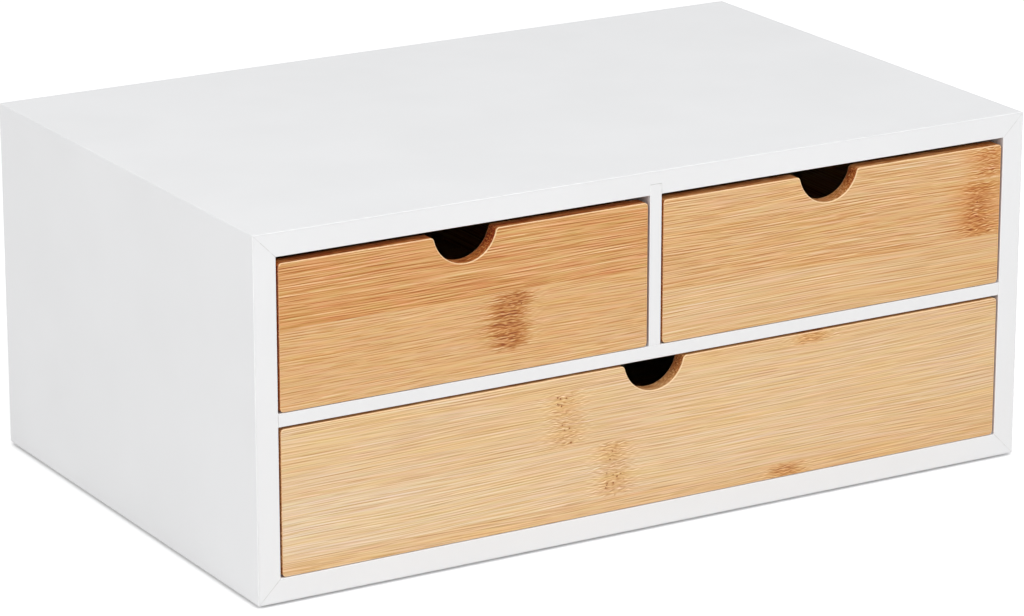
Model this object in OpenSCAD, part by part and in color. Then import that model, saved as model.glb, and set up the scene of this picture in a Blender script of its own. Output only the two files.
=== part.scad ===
// Desktop mini drawers: a white mitred cabinet with two small bamboo drawers
// over one wide bamboo drawer. Millimetres, +Z up.
// The origin is on the surface it stands on, under the middle of the cabinet.
// The drawers face -Y.

/* [Cabinet] */
// Width of the cabinet over its sides
cabinet_w = 330; // [260:5:480]
// Depth of the cabinet from its front edge to its back
cabinet_d = 210; // [150:5:320]
// Thickness of the four outer boards
board_t = 9; // [8:0.5:15]
// Radius on the four long outer corners
corner_r = 0.5; // [0.5:0.5:3]
// Clear height of the two upper bays
upper_bay_h = 57.5; // [45:0.5:100]
// Clear height of the lower bay
lower_bay_h = 56.5; // [45:0.5:150]
// Thickness of the shelf between the upper and lower bays
shelf_t = 5; // [4:0.5:9]
// Thickness of the divider between the two upper bays
divider_t = 5; // [4:0.5:9]

/* [Cabinet joints] */
// Depth of the housings that hold the shelf's ends in the sides
shelf_housing = 3; // [1:0.5:4]
// Depth of the housing that holds the divider in the top
divider_housing = 4; // [1:0.5:5]
// Depth of the housing that holds the divider in the shelf
divider_foot = 1.5; // [1:0.5:2]
// How far a hidden housing stops behind the front edge
housing_stop = 6; // [3:1:15]
// Width of the loose tongue that joins each mitred corner
tongue_w = 8; // [6:0.5:8]
// Thickness of the tongue
tongue_t = 2; // [1.5:0.5:2]
// Distance along the mitre from the inner corner to the tongue's middle
tongue_in = 4; // [3.5:0.5:4.5]
// How far each tongue stops behind the front edge
tongue_stop = 15; // [8:1:40]
// Room for glue at the closed end of a joint
glue_gap = 0.1; // [0.05:0.05:0.3]

/* [Back panel] */
// Thickness of the back panel
back_t = 3; // [2.5:0.5:5]
// Width of the rebate that the back panel sits in
rebate_w = 4.5; // [4:0.5:6]
// Room round the back panel in its rebate
back_fit = 0.3; // [0.1:0.1:0.6]
// Diameter of a panel pin
pin_d = 1.2; // [1:0.1:1.6]
// Length of a panel pin with its head
pin_len = 14; // [10:1:20]
// Diameter of the pin's head
pin_head_d = 2.4; // [2:0.1:3]
// Thickness of the pin's head
pin_head_t = 0.6; // [0.4:0.1:1]
// Number of pins along the top and along the bottom
rail_pins = 4; // [2, 4, 6]
// Distance of the outer pins from the inner corners
pin_inset = 20; // [15:1:40]

/* [Foot pads] */
// Diameter of a foot pad
pad_d = 12; // [8:1:25]
// Thickness of a foot pad
pad_t = 1; // [0.5:0.5:5]
// Distance from the cabinet's outer faces to a pad's middle
pad_inset = 16; // [15:1:40]

/* [Drawer fit] */
// Gap under a drawer
run_gap = 0.3; // [0.3:0.1:1]
// Gap on each side of a drawer
side_gap = 0.8; // [0.4:0.1:1.5]
// Gap over the fronts of the upper drawers
upper_top_gap = 2.5; // [0.5:0.1:4]
// Gap over the front of the lower drawer
lower_top_gap = 1; // [0.5:0.1:4]
// How far a closed front sits behind the cabinet's front edge
front_recess = 0; // [0:0.1:3]
// Gap between a closed drawer and the back panel
rear_gap = 0.5; // [0.3:0.1:3]

/* [Drawer boards] */
// Thickness of the drawer fronts
front_t = 6; // [5:0.5:9]
// Radius on the corners of a drawer front
front_corner_r = 1.5; // [0.5:0.5:4]
// Thickness of the drawer sides
side_t = 6; // [5:0.5:8]
// Thickness of the drawer's own back
rear_t = 6; // [5:0.5:8]
// How far the sides and back stay below the top of the front
side_drop = 3; // [1:0.5:10]
// Thickness of the drawer bottom
bottom_t = 3; // [2:0.5:4]

/* [Finger notches] */
// Radius of a finger notch
notch_r = 13; // [9:0.5:16]
// Height of the notch's centre over the front's top edge
notch_rise = 1.8; // [0:0.1:3]
// Radius on the notch's two shoulders
shoulder_r = 1.5; // [0.5:0.25:3]
// Upper left notch, right of the middle of its bay
upper_left_notch_x = -0.8; // [-20:0.1:20]
// Upper right notch, right of the middle of its bay
upper_right_notch_x = -3.3; // [-20:0.1:20]
// Lower notch, right of the middle of its bay
lower_notch_x = 0; // [-20:0.1:20]

/* [Drawer joints] */
// Depth of the grooves that hold the drawer bottom
groove_d = 3; // [1.5:0.5:3]
// Height of the grooves over the drawer's lower edge
groove_up = 3; // [2:0.5:5]
// Room round the drawer bottom in its grooves
bottom_fit = 0.2; // [0.1:0.1:0.5]
// Diameter of a corner dowel
dowel_d = 3; // [2:0.5:3]
// Room round a dowel in its hole
dowel_fit = 0.05; // [0.05:0.05:0.1]
// Depth of a dowel hole across a board's thickness
dowel_seat = 3.5; // [2:0.5:3.5]
// Depth of a dowel hole in a board's end
dowel_reach = 8; // [6:0.5:12]
// Room for glue at each end of a dowel
dowel_end_gap = 0.25; // [0.1:0.05:0.5]
// Height of the lower dowels over the drawer's lower edge
dowel_low = 14; // [13:1:18]
// Distance of the upper dowels below the sides' top edge
dowel_high = 10; // [5:1:12]

/* [Hidden] */
$fn = 64;
over = 1; // how far a cutting shape runs past the face that it cuts

white_paint = [0.92, 0.92, 0.93];
white_board = [0.90, 0.90, 0.89];
plywood = [0.82, 0.74, 0.61];
bamboo = [0.87, 0.68, 0.45];
pale_bamboo = [0.90, 0.75, 0.53];
steel = [0.62, 0.63, 0.65];
felt = [0.80, 0.79, 0.77];

// Heights and places in the cabinet
floor_z = pad_t + board_t;
shelf_z = floor_z + lower_bay_h;
shelf_top = shelf_z + shelf_t;
ceiling_z = shelf_top + upper_bay_h;
cabinet_top = ceiling_z + board_t;
inner_w = cabinet_w - 2 * board_t;
front_y = -cabinet_d / 2;
back_y = cabinet_d / 2;
back_face = back_y - back_t;

// Each bay: [middle x, floor z, width, height, gap over its drawer front, notch x]
small_bay_w = (inner_w - divider_t) / 2;
small_bay_x = (small_bay_w + divider_t) / 2;
upper_left = [-small_bay_x, shelf_top, small_bay_w, upper_bay_h, upper_top_gap,
              upper_left_notch_x];
upper_right = [small_bay_x, shelf_top, small_bay_w, upper_bay_h, upper_top_gap,
               upper_right_notch_x];
lower = [0, floor_z, inner_w, lower_bay_h, lower_top_gap, lower_notch_x];
function bay_x(bay) = bay[0];
function bay_floor(bay) = bay[1];
function drawer_w(bay) = bay[2] - 2 * side_gap;
function drawer_z(bay) = bay_floor(bay) + run_gap;
function front_h(bay) = bay[3] - run_gap - bay[4];
function side_h(bay) = front_h(bay) - side_drop;
function notch_x(bay) = bay[5];
function box_inner_w(bay) = drawer_w(bay) - 2 * side_t;

// Places along a closed drawer
front_y0 = front_y + front_recess;
front_y1 = front_y0 + front_t;
drawer_back = back_face - rear_gap;
rear_y0 = drawer_back - rear_t;

// Places of the panel pins, as [x, z]
pin_rail_w = inner_w - 2 * pin_inset;
pin_xs = [for (i = [0 : rail_pins - 1]) -pin_rail_w / 2 + i * pin_rail_w / (rail_pins - 1)];
pin_places = concat(
    [for (x = pin_xs) [x, floor_z - rebate_w / 2]],
    [for (x = pin_xs) [x, ceiling_z + rebate_w / 2]],
    [for (s = [-1, 1], z = [floor_z + lower_bay_h / 2, shelf_top + upper_bay_h / 2])
        [s * (inner_w + rebate_w) / 2, z]],
    [for (s = [-1, 1]) [s * small_bay_x, shelf_z + shelf_t / 2]],
    [[0, shelf_top + upper_bay_h / 2]]
);

// A box between two opposite corners
module block(a, b) {
    low = [for (i = [0 : 2]) min(a[i], b[i])];
    high = [for (i = [0 : 2]) max(a[i], b[i])];
    translate(low)
        cube(high - low);
}

// A cylinder along Y from y0 to y1, with its axis at x and z
module rod_y(x, z, y0, y1, d) {
    translate([x, y0, z])
        rotate([-90, 0, 0])
            cylinder(h = y1 - y0, d = d);
}

// A cylinder along X from x0 to x1, with its axis at y and z
module rod_x(y, z, x0, x1, d) {
    translate([x0, y, z])
        rotate([0, 90, 0])
            cylinder(h = x1 - x0, d = d);
}

// A slab from low to high whose four edges along Y are rounded
module rounded_slab(low, high, r) {
    block(low + [r, 0, 0], high - [r, 0, 0]);
    block(low + [0, 0, r], high - [0, 0, r]);
    for (x = [low.x + r, high.x - r], z = [low.z + r, high.z - r])
        rod_y(x, z, low.y, high.y, 2 * r);
}

// ---- Cabinet ----

// One outer board's share of the cabinet, cut off at 45 degrees at both ends:
// an outline in x and z, from front to back
module mitred_board(outline) {
    intersection() {
        translate([0, back_y, 0])
            rotate([90, 0, 0])
                linear_extrude(cabinet_d)
                    polygon(outline);
        rounded_slab([-cabinet_w / 2, front_y, pad_t], [cabinet_w / 2, back_y, cabinet_top],
                     corner_r);
    }
}

// What the back panel's rebate takes out of the outer boards
module rebate() {
    block([-inner_w / 2 - rebate_w, back_face, floor_z - rebate_w],
          [inner_w / 2 + rebate_w, back_y + over, ceiling_z + rebate_w]);
}

// Holes for the pins' shanks in whatever lies in front of the back panel
module pin_holes() {
    for (p = pin_places)
        rod_y(p.x, p.y, back_y - pin_len, back_y, pin_d);
}

// A tongue across the mitre on side sx (-1 left, 1 right) at height sz (-1 bottom, 1 top),
// or with end_gap over 0 the slot that it fits
module mitre_tongue(sx, sz, end_gap = 0) {
    corner_z = sz > 0 ? ceiling_z : floor_z;
    step = tongue_in / sqrt(2);
    len = back_face - front_y - tongue_stop + end_gap;
    translate([sx * (inner_w / 2 + step), back_face - len / 2, corner_z + sz * step])
        rotate([0, sx * sz * 45, 0])
            cube([tongue_w + 2 * end_gap, len, tongue_t], center = true);
}

module top_panel() {
    color(white_paint)
    difference() {
        mitred_board([
            [-cabinet_w / 2, cabinet_top], [cabinet_w / 2, cabinet_top],
            [inner_w / 2, ceiling_z], [-inner_w / 2, ceiling_z]
        ]);
        rebate();
        pin_holes();
        block([-divider_t / 2, front_y - over, ceiling_z - over],
              [divider_t / 2, back_y + over, ceiling_z + divider_housing + glue_gap]);
        for (s = [-1, 1])
            mitre_tongue(s, 1, glue_gap);
    }
}

module bottom_panel() {
    color(white_paint)
    difference() {
        mitred_board([
            [-cabinet_w / 2, pad_t], [cabinet_w / 2, pad_t],
            [inner_w / 2, floor_z], [-inner_w / 2, floor_z]
        ]);
        rebate();
        pin_holes();
        for (s = [-1, 1])
            mitre_tongue(s, -1, glue_gap);
    }
}

// The side on s (-1 left, 1 right), with the housing for the shelf's end
module side_board(s) {
    difference() {
        mitred_board([
            [s * cabinet_w / 2, pad_t], [s * cabinet_w / 2, cabinet_top],
            [s * inner_w / 2, ceiling_z], [s * inner_w / 2, floor_z]
        ]);
        rebate();
        pin_holes();
        block([s * (inner_w / 2 - over), front_y + housing_stop, shelf_z],
              [s * (inner_w / 2 + shelf_housing + glue_gap), back_y + over, shelf_top]);
        mitre_tongue(s, 1, glue_gap);
        mitre_tongue(s, -1, glue_gap);
    }
}

module left_side() {
    color(white_paint)
        side_board(-1);
}

module right_side() {
    color(white_paint)
        side_board(1);
}

// The shelf's ends are notched at the front, so that its housings don't show there
module shelf() {
    color(white_paint)
    difference() {
        union() {
            block([-inner_w / 2, front_y, shelf_z], [inner_w / 2, back_face, shelf_top]);
            block([-inner_w / 2 - shelf_housing, front_y + housing_stop + glue_gap, shelf_z],
                  [inner_w / 2 + shelf_housing, back_face, shelf_top]);
        }
        pin_holes();
        block([-divider_t / 2, front_y + housing_stop, shelf_top - divider_foot - glue_gap],
              [divider_t / 2, back_face + over, shelf_top + over]);
    }
}

module centre_divider() {
    color(white_paint)
    difference() {
        union() {
            block([-divider_t / 2, front_y, shelf_top],
                  [divider_t / 2, back_face, ceiling_z + divider_housing]);
            block([-divider_t / 2, front_y + housing_stop + glue_gap, shelf_top - divider_foot],
                  [divider_t / 2, back_face, shelf_top]);
        }
        pin_holes();
    }
}

module back_panel() {
    reach = rebate_w - back_fit;
    color(white_board)
    difference() {
        block([-inner_w / 2 - reach, back_face, floor_z - reach],
              [inner_w / 2 + reach, back_y, ceiling_z + reach]);
        pin_holes();
        for (p = pin_places)
            rod_y(p.x, p.y, back_y - pin_head_t, back_y + over, pin_head_d);
    }
}

module back_pins() {
    color(steel)
    for (p = pin_places) {
        rod_y(p.x, p.y, back_y - pin_len, back_y - pin_head_t, pin_d);
        rod_y(p.x, p.y, back_y - pin_head_t, back_y, pin_head_d);
    }
}

module top_left_tongue() { color(plywood) mitre_tongue(-1, 1); }
module top_right_tongue() { color(plywood) mitre_tongue(1, 1); }
module bottom_left_tongue() { color(plywood) mitre_tongue(-1, -1); }
module bottom_right_tongue() { color(plywood) mitre_tongue(1, -1); }

// A round pad under the corner on side sx, at the front (sy -1) or the back (sy 1)
module foot_pad(sx, sy) {
    translate([sx * (cabinet_w / 2 - pad_inset), sy * (cabinet_d / 2 - pad_inset), 0])
        cylinder(h = pad_t, d = pad_d);
}

module front_left_pad() { color(felt) foot_pad(-1, -1); }
module front_right_pad() { color(felt) foot_pad(1, -1); }
module back_left_pad() { color(felt) foot_pad(-1, 1); }
module back_right_pad() { color(felt) foot_pad(1, 1); }

// ---- Drawers ----

// A half-round notch in the top edge, with its shoulders rounded over.
// x is its middle and top its edge's height.
module finger_notch(x, top) {
    shoulder_x = sqrt(pow(notch_r + shoulder_r, 2) - pow(notch_rise + shoulder_r, 2));
    tangent_x = shoulder_x * notch_r / (notch_r + shoulder_r);
    tangent_z = notch_rise - (notch_rise + shoulder_r) * notch_r / (notch_r + shoulder_r);
    rod_y(x, top + notch_rise, front_y0 - over, front_y1 + over, 2 * notch_r);
    for (s = [-1, 1])
        difference() {
            block([x + s * tangent_x, front_y0 - over, top + tangent_z],
                  [x + s * shoulder_x, front_y1 + over, top + over]);
            rod_y(x + s * shoulder_x, top - shoulder_r, front_y0 - 2 * over,
                  front_y1 + 2 * over, 2 * shoulder_r);
        }
}

// The space that the grooves in the front, sides and rear leave for the bottom
module bottom_groove(bay) {
    reach = box_inner_w(bay) / 2 + groove_d;
    z = drawer_z(bay) + groove_up;
    block([bay_x(bay) - reach, front_y1 - groove_d, z],
          [bay_x(bay) + reach, rear_y0 + groove_d, z + bottom_t + bottom_fit]);
}

// All eight dowels of a drawer, or with grow over 0 their holes.
// Four run from the sides into the front, and four from the rear into the sides.
module dowels(bay, grow = 0, end_gap = dowel_end_gap) {
    for (s = [-1, 1], z = [dowel_low, side_h(bay) - dowel_high]) {
        rod_y(bay_x(bay) + s * (drawer_w(bay) - side_t) / 2, drawer_z(bay) + z,
              front_y1 - dowel_seat + end_gap, front_y1 + dowel_reach - end_gap,
              dowel_d + 2 * grow);
        inner_x = box_inner_w(bay) / 2;
        x0 = s > 0 ? inner_x - dowel_reach : -inner_x - dowel_seat;
        rod_x(drawer_back - rear_t / 2, drawer_z(bay) + z, bay_x(bay) + x0 + end_gap,
              bay_x(bay) + x0 + dowel_reach + dowel_seat - end_gap, dowel_d + 2 * grow);
    }
}

module drawer_front(bay) {
    half_w = drawer_w(bay) / 2;
    top = drawer_z(bay) + front_h(bay);
    difference() {
        rounded_slab([bay_x(bay) - half_w, front_y0, drawer_z(bay)],
                     [bay_x(bay) + half_w, front_y1, top], front_corner_r);
        finger_notch(bay_x(bay) + notch_x(bay), top);
        bottom_groove(bay);
        dowels(bay, dowel_fit, 0);
    }
}

// The side on s (-1 left, 1 right)
module drawer_side(bay, s) {
    middle = bay_x(bay) + s * (drawer_w(bay) - side_t) / 2;
    difference() {
        block([middle - side_t / 2, front_y1, drawer_z(bay)],
              [middle + side_t / 2, drawer_back, drawer_z(bay) + side_h(bay)]);
        bottom_groove(bay);
        dowels(bay, dowel_fit, 0);
    }
}

module drawer_rear(bay) {
    half_w = box_inner_w(bay) / 2;
    difference() {
        block([bay_x(bay) - half_w, rear_y0, drawer_z(bay)],
              [bay_x(bay) + half_w, drawer_back, drawer_z(bay) + side_h(bay)]);
        bottom_groove(bay);
        dowels(bay, dowel_fit, 0);
    }
}

module drawer_bottom(bay) {
    reach = box_inner_w(bay) / 2 + groove_d - bottom_fit;
    z = drawer_z(bay) + groove_up;
    block([bay_x(bay) - reach, front_y1 - groove_d + bottom_fit, z],
          [bay_x(bay) + reach, rear_y0 + groove_d - bottom_fit, z + bottom_t]);
}

module left_drawer_front() { color(bamboo) drawer_front(upper_left); }
module left_drawer_left_side() { color(bamboo) drawer_side(upper_left, -1); }
module left_drawer_right_side() { color(bamboo) drawer_side(upper_left, 1); }
module left_drawer_rear() { color(bamboo) drawer_rear(upper_left); }
module left_drawer_bottom() { color(pale_bamboo) drawer_bottom(upper_left); }
module left_drawer_dowels() { color(pale_bamboo) dowels(upper_left); }

module right_drawer_front() { color(bamboo) drawer_front(upper_right); }
module right_drawer_left_side() { color(bamboo) drawer_side(upper_right, -1); }
module right_drawer_right_side() { color(bamboo) drawer_side(upper_right, 1); }
module right_drawer_rear() { color(bamboo) drawer_rear(upper_right); }
module right_drawer_bottom() { color(pale_bamboo) drawer_bottom(upper_right); }
module right_drawer_dowels() { color(pale_bamboo) dowels(upper_right); }

module wide_drawer_front() { color(bamboo) drawer_front(lower); }
module wide_drawer_left_side() { color(bamboo) drawer_side(lower, -1); }
module wide_drawer_right_side() { color(bamboo) drawer_side(lower, 1); }
module wide_drawer_rear() { color(bamboo) drawer_rear(lower); }
module wide_drawer_bottom() { color(pale_bamboo) drawer_bottom(lower); }
module wide_drawer_dowels() { color(pale_bamboo) dowels(lower); }

top_panel();
bottom_panel();
left_side();
right_side();
shelf();
centre_divider();
back_panel();
back_pins();
top_left_tongue();
top_right_tongue();
bottom_left_tongue();
bottom_right_tongue();
front_left_pad();
front_right_pad();
back_left_pad();
back_right_pad();
left_drawer_front();
left_drawer_left_side();
left_drawer_right_side();
left_drawer_rear();
left_drawer_bottom();
left_drawer_dowels();
right_drawer_front();
right_drawer_left_side();
right_drawer_right_side();
right_drawer_rear();
right_drawer_bottom();
right_drawer_dowels();
wide_drawer_front();
wide_drawer_left_side();
wide_drawer_right_side();
wide_drawer_rear();
wide_drawer_bottom();
wide_drawer_dowels();
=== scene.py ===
# %% [markdown]
# # Desktop mini drawers in Blender
#
# A small desk cabinet of white lacquered board holds two small bamboo drawers over one wide one.
# The construction comes ready made as a frame of exact solids: every board is at its real size and in
# its real place. This notebook gives the boards what a workshop gives them last: eased edges, a satin
# white lacquer, and bamboo with strips, fibres and knuckles. Nothing is moved or resized on the way.

# %% Load the frame
import math

import bmesh
import bpy
from mathutils import Euler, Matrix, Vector


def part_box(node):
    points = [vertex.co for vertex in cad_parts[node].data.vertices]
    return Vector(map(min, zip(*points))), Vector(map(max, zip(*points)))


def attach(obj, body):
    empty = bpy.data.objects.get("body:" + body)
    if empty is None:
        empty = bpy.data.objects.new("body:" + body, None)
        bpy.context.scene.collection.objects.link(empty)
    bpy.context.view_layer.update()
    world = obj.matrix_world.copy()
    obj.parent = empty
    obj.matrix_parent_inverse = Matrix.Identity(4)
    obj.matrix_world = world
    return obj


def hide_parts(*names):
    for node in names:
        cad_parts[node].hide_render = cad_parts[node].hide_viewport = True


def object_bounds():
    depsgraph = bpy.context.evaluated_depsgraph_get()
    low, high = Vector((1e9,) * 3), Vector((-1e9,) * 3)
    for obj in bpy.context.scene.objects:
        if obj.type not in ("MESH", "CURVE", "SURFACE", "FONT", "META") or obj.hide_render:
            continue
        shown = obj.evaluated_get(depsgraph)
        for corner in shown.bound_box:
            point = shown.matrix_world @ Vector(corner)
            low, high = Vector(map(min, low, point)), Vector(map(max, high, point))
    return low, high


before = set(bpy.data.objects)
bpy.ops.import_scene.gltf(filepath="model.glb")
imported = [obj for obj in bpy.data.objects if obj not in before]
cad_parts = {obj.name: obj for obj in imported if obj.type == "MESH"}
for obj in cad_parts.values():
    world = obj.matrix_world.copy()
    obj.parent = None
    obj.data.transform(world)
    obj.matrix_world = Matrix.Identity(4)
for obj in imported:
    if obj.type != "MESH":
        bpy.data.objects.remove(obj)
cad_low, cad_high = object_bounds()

MM = 0.001
size = (cad_high - cad_low) / MM
print(f"{len(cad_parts)} solids in a box of {size.x:.0f} x {size.y:.0f} x {size.z:.0f} mm")

# %% [markdown]
# ## The camera
#
# A long lens far away keeps the edges of a small object nearly parallel, as in a catalogue picture.
# The camera could be aimed with a constraint, but two plain angles are easier to read: how far it has
# walked round to the left of the fronts, and how steeply it looks down.

# %% The camera
CAMERA_PLACE = Vector((-0.8648, -1.4680, 0.5881))
TURN_LEFT = math.radians(30.535)
LOOK_DOWN = math.radians(17.29)
LENS_MM = 162.2
SENSOR_MM = 36.0

lens = bpy.data.cameras.new("catalogue_lens")
lens.lens = LENS_MM
lens.sensor_width = SENSOR_MM
camera = bpy.data.objects.new("camera", lens)
camera.location = CAMERA_PLACE
camera.rotation_euler = Euler((math.pi / 2 - LOOK_DOWN, 0.0, -TURN_LEFT))
bpy.context.scene.collection.objects.link(camera)
bpy.context.scene.camera = camera
bpy.context.scene.view_settings.view_transform = "Standard"
print(f"camera {CAMERA_PLACE.length:.2f} m from the origin, lens {LENS_MM:.0f} mm")

# %% [markdown]
# ## Helpers for wiring a finish
#
# A Blender material is a network of nodes. Wiring it by hand takes three lines for each node, so
# these helpers make a node, join its inputs and hand back its output. An input is either a plain
# value or the output of an earlier node.

# %% Values and joins
def paint(red, green, blue):
    """A colour as it is read off a screen, 0 to 255, turned into the linear light that shaders use."""
    linear = []
    for part in (red, green, blue):
        share = part / 255
        linear.append(share / 12.92 if share <= 0.04045 else ((share + 0.055) / 1.055) ** 2.4)
    return (*linear, 1.0)


def join(tree, value, target):
    """Feeds an input from another node's output, or writes a plain value on it."""
    if isinstance(value, bpy.types.NodeSocket):
        tree.links.new(value, target)
    else:
        target.default_value = value


print("a mid grey of 128 is", round(paint(128, 128, 128)[0], 3), "in linear light")

# %% Sums and places
def maths(tree, operation, *values, clamp=False):
    """One sum, product or comparison."""
    node = tree.nodes.new("ShaderNodeMath")
    node.operation = operation
    node.use_clamp = clamp
    for value, target in zip(values, node.inputs):
        join(tree, value, target)
    return node.outputs[0]


def place_of(tree, x, y, z):
    """Three numbers put together as one place."""
    node = tree.nodes.new("ShaderNodeCombineXYZ")
    for value, target in zip((x, y, z), node.inputs):
        join(tree, value, target)
    return node.outputs[0]


def parts_of(tree, place):
    """The x, y and z of a place."""
    node = tree.nodes.new("ShaderNodeSeparateXYZ")
    join(tree, place, node.inputs[0])
    return node.outputs[0], node.outputs[1], node.outputs[2]


def vector_sum(tree, operation, first, second):
    """Two places added, or one divided by the other, axis by axis."""
    node = tree.nodes.new("ShaderNodeVectorMath")
    node.operation = operation
    join(tree, first, node.inputs[0])
    join(tree, second, node.inputs[1])
    return node.outputs[0]


print("sums and places ready")

# %% [markdown]
# Nothing on a real board is even, so every finish needs soft random values. Blender's Noise texture
# gives them. Its Scale stretches all three axes alike, but a fibre is long and thin, so the place is
# divided by a grain of three lengths first, and the noise is left at a scale of 1. An even grain
# makes round blots. Two readings of one cloud, a hair apart and subtracted, cancel everything broad
# and leave fine lines, each with a dark and a light flank.

# %% Clouds
def cloud(tree, place, grain, detail=2.0, roughness=0.5):
    """Soft random values round 0.5, in blots of about the size of the grain, in mm."""
    node = tree.nodes.new("ShaderNodeTexNoise")
    join(tree, vector_sum(tree, "DIVIDE", place, grain), node.inputs["Vector"])
    node.inputs["Scale"].default_value = 1.0
    node.inputs["Detail"].default_value = detail
    node.inputs["Roughness"].default_value = roughness
    return node.outputs["Fac"]


def blots(tree, place, width, detail=2.0, roughness=0.5):
    """A cloud that is as long as it is wide and deep."""
    return cloud(tree, place, (width, width, width), detail, roughness)


def flanks(tree, place, grain, apart):
    """Fine lines with a dark and a light flank, about 0: one cloud read at two places and compared."""
    near = cloud(tree, place, grain, detail=0.0)
    far = cloud(tree, vector_sum(tree, "ADD", place, (0.0, apart, 0.0)), grain, detail=0.0)
    return maths(tree, "SUBTRACT", near, far)


def chance(tree, number):
    """One random value from 0 to 1 for each whole number."""
    node = tree.nodes.new("ShaderNodeTexWhiteNoise")
    node.noise_dimensions = "1D"
    join(tree, number, node.inputs["W"])
    return node.outputs["Value"]


# %% Steps, swings and mixtures
CLOUD_SPREAD = 0.25


def rise(tree, value, low, high, to_low=0.0, to_high=1.0):
    """A smooth step from one value to another as the input goes from low to high."""
    node = tree.nodes.new("ShaderNodeMapRange")
    node.interpolation_type = "SMOOTHSTEP"
    names = ("Value", "From Min", "From Max", "To Min", "To Max")
    for name, number in zip(names, (value, low, high, to_low, to_high)):
        join(tree, number, node.inputs[name])
    return node.outputs["Result"]


def swing(tree, value, reach):
    """A cloud's values, most of them within the spread round 0.5, as plus or minus the reach."""
    centred = maths(tree, "SUBTRACT", value, 0.5)
    return maths(tree, "MULTIPLY", centred, reach / CLOUD_SPREAD)


def mixed(tree, share, first, second, method="MIX"):
    """Two colours mixed. Share is 0 for the first and 1 for the second."""
    node = tree.nodes.new("ShaderNodeMix")
    node.data_type = "RGBA"
    node.blend_type = method
    node.clamp_factor = True
    colours = [socket for socket in node.inputs if socket.type == "RGBA"]
    join(tree, share, node.inputs[0])
    join(tree, first, colours[0])
    join(tree, second, colours[1])
    return next(socket for socket in node.outputs if socket.type == "RGBA")


print(f"most of a cloud lies between {0.5 - CLOUD_SPREAD} and {0.5 + CLOUD_SPREAD}")

# %% Start and end of a finish
ARRIS = "arris"


def new_finish(name):
    """A material whose network ends in one shader, and the object's own coordinates in millimetres."""
    finish = bpy.data.materials.new(name)
    finish.use_nodes = True
    tree = finish.node_tree
    coordinates = tree.nodes.new("ShaderNodeTexCoord")
    in_mm = tree.nodes.new("ShaderNodeMapping")
    in_mm.inputs["Scale"].default_value = (1 / MM, 1 / MM, 1 / MM)
    tree.links.new(coordinates.outputs["Object"], in_mm.inputs["Vector"])
    return finish, tree, tree.nodes["Principled BSDF"], in_mm.outputs["Vector"]


def relief(tree, shader, height, depth_mm):
    """Fine relief on the surface, as deep as depth where the height goes from 0 to 1."""
    node = tree.nodes.new("ShaderNodeBump")
    node.inputs["Distance"].default_value = depth_mm * MM
    join(tree, height, node.inputs["Height"])
    tree.links.new(node.outputs["Normal"], shader.inputs["Normal"])


def on_arris(tree, mark=1.0):
    """How much a point lies on an eased edge, or with a mark of -1 on a joint line: from 0 to 1."""
    node = tree.nodes.new("ShaderNodeAttribute")
    node.attribute_name = ARRIS
    return maths(tree, "MULTIPLY", node.outputs["Fac"], mark, clamp=True)


print(f"the finishes look for eased faces in the attribute {ARRIS!r}")

# %% [markdown]
# ## The studio
#
# The cabinet stands on a white sweep under big soft lights. The white of the background is only a
# colour: the camera and mirror-like reflections see a white world, while the light that falls on the
# boards comes from a dimmer dome and three soft boxes, so that white lacquer stays a little below
# white and keeps its shading.

# %% The white world
WHITE = (1.0, 1.0, 1.0, 1.0)
BACKDROP_STRENGTH = 1.0
DOME_COLOUR = (0.985, 0.99, 1.0, 1.0)
DOME_STRENGTH = 0.59


def looked_at(tree):
    """1 for what the camera sees, straight on, in a mirror or through glass, and 0 for other light."""
    rays = tree.nodes.new("ShaderNodeLightPath")
    seen = maths(tree, "MAXIMUM", rays.outputs["Is Camera Ray"], rays.outputs["Is Glossy Ray"])
    return maths(tree, "MAXIMUM", seen, rays.outputs["Is Transmission Ray"])


world = bpy.data.worlds.new("studio")
world.use_nodes = True
bpy.context.scene.world = world
sky = world.node_tree
dome = sky.nodes["Background"]
dome.inputs["Color"].default_value = DOME_COLOUR
dome.inputs["Strength"].default_value = DOME_STRENGTH
backdrop = sky.nodes.new("ShaderNodeBackground")
backdrop.inputs["Color"].default_value = WHITE
backdrop.inputs["Strength"].default_value = BACKDROP_STRENGTH
choice = sky.nodes.new("ShaderNodeMixShader")
sky.links.new(looked_at(sky), choice.inputs["Fac"])
sky.links.new(dome.outputs[0], choice.inputs[1])
sky.links.new(backdrop.outputs[0], choice.inputs[2])
sky.links.new(choice.outputs[0], sky.nodes["World Output"].inputs["Surface"])
print(f"dome at {DOME_STRENGTH}, backdrop at {BACKDROP_STRENGTH}")

# %% Soft boxes
def soft_box(name, place, width, height, power, colour=WHITE[:3]):
    """A rectangular lamp that faces the middle of the cabinet."""
    lamp = bpy.data.lights.new(name, "AREA")
    lamp.shape = "RECTANGLE"
    lamp.size = width
    lamp.size_y = height
    lamp.energy = power
    lamp.color = colour
    box = bpy.data.objects.new(name, lamp)
    box.location = place
    middle = (cad_low + cad_high) / 2
    box.rotation_euler = (middle - Vector(place)).to_track_quat("-Z", "Y").to_euler()
    bpy.context.scene.collection.objects.link(box)
    print(f"{name}: {width} x {height} m, {power} W")


soft_box("front_light", place=(0.25, -2.1, 1.5), width=1.8, height=1.2, power=20.5)
soft_box("top_light", place=(-0.2, -0.9, 1.9), width=1.4, height=1.0, power=6.0,
         colour=(0.97, 0.98, 1.0))
soft_box("left_light", place=(-2.1, -0.5, 1.4), width=1.4, height=1.2, power=15.5,
         colour=(1.0, 0.985, 0.975))

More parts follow.
